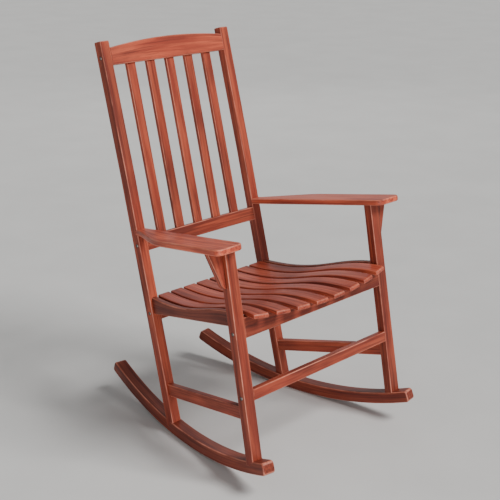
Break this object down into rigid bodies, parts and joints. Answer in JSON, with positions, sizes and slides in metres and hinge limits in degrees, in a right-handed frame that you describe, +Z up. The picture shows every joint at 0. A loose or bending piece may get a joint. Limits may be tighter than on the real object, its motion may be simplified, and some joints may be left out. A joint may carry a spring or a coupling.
{
  "type": "rocking chair",
  "caption": "Slatted wooden rocking chair with a raked slat back, dished fanned seat, flared armrests on corbels and toed-in curved rockers.",
  "frame": {"origin": "on the floor, midway between the rockers and halfway along them", "axes": "+X towards the sitter's left, +Y behind the chair, +Z up"},
  "size_m": [0.7162, 0.7833, 1.1],
  "materials": {
    "stained_wood": "satin stain",
    "bolt_steel": "satin",
    "zinc_steel": "zinc plated"
  },
  "bodies": {
    "root": {"left_rocker": "stained_wood", "right_rocker": "stained_wood", "left_front_leg": "stained_wood", "right_front_leg": "stained_wood", "left_side_stretcher": "stained_wood", "right_side_stretcher": "stained_wood", "left_side_seat_rail": "stained_wood", "right_side_seat_rail": "stained_wood", "left_back_post": "stained_wood", "right_back_post": "stained_wood", "left_armrest": "stained_wood", "right_armrest": "stained_wood", "left_arm_corbel": "stained_wood", "right_arm_corbel": "stained_wood", "front_stretcher": "stained_wood", "front_apron": "stained_wood", "rear_seat_rail": "stained_wood", "mid_seat_bearer": "stained_wood", "crest_rail": "stained_wood", "lower_back_rail": "stained_wood", "seat_slat_1": "stained_wood", "seat_slat_2": "stained_wood", "seat_slat_3": "stained_wood", "seat_slat_4": "stained_wood", "seat_slat_5": "stained_wood", "seat_slat_6": "stained_wood", "seat_slat_7": "stained_wood", "seat_slat_8": "stained_wood", "back_slat_1": "stained_wood", "back_slat_2": "stained_wood", "back_slat_3": "stained_wood", "back_slat_4": "stained_wood", "back_slat_5": "stained_wood", "left_apron_bolt": "bolt_steel", "left_apron_nut": "zinc_steel", "right_apron_bolt": "bolt_steel", "right_apron_nut": "zinc_steel", "left_stretcher_bolt": "bolt_steel", "left_stretcher_nut": "zinc_steel", "right_stretcher_bolt": "bolt_steel", "right_stretcher_nut": "zinc_steel", "left_seat_rail_bolt": "bolt_steel", "left_seat_rail_nut": "zinc_steel", "right_seat_rail_bolt": "bolt_steel", "right_seat_rail_nut": "zinc_steel", "left_back_rail_bolt": "bolt_steel", "left_back_rail_nut": "zinc_steel", "right_back_rail_bolt": "bolt_steel", "right_back_rail_nut": "zinc_steel", "left_crest_bolt": "bolt_steel", "left_crest_nut": "zinc_steel", "right_crest_bolt": "bolt_steel", "right_crest_nut": "zinc_steel", "left_leg_screw": "zinc_steel", "right_leg_screw": "zinc_steel", "left_post_screw": "zinc_steel", "right_post_screw": "zinc_steel", "left_arm_screw": "zinc_steel", "right_arm_screw": "zinc_steel"}
  },
  "joints": []
}
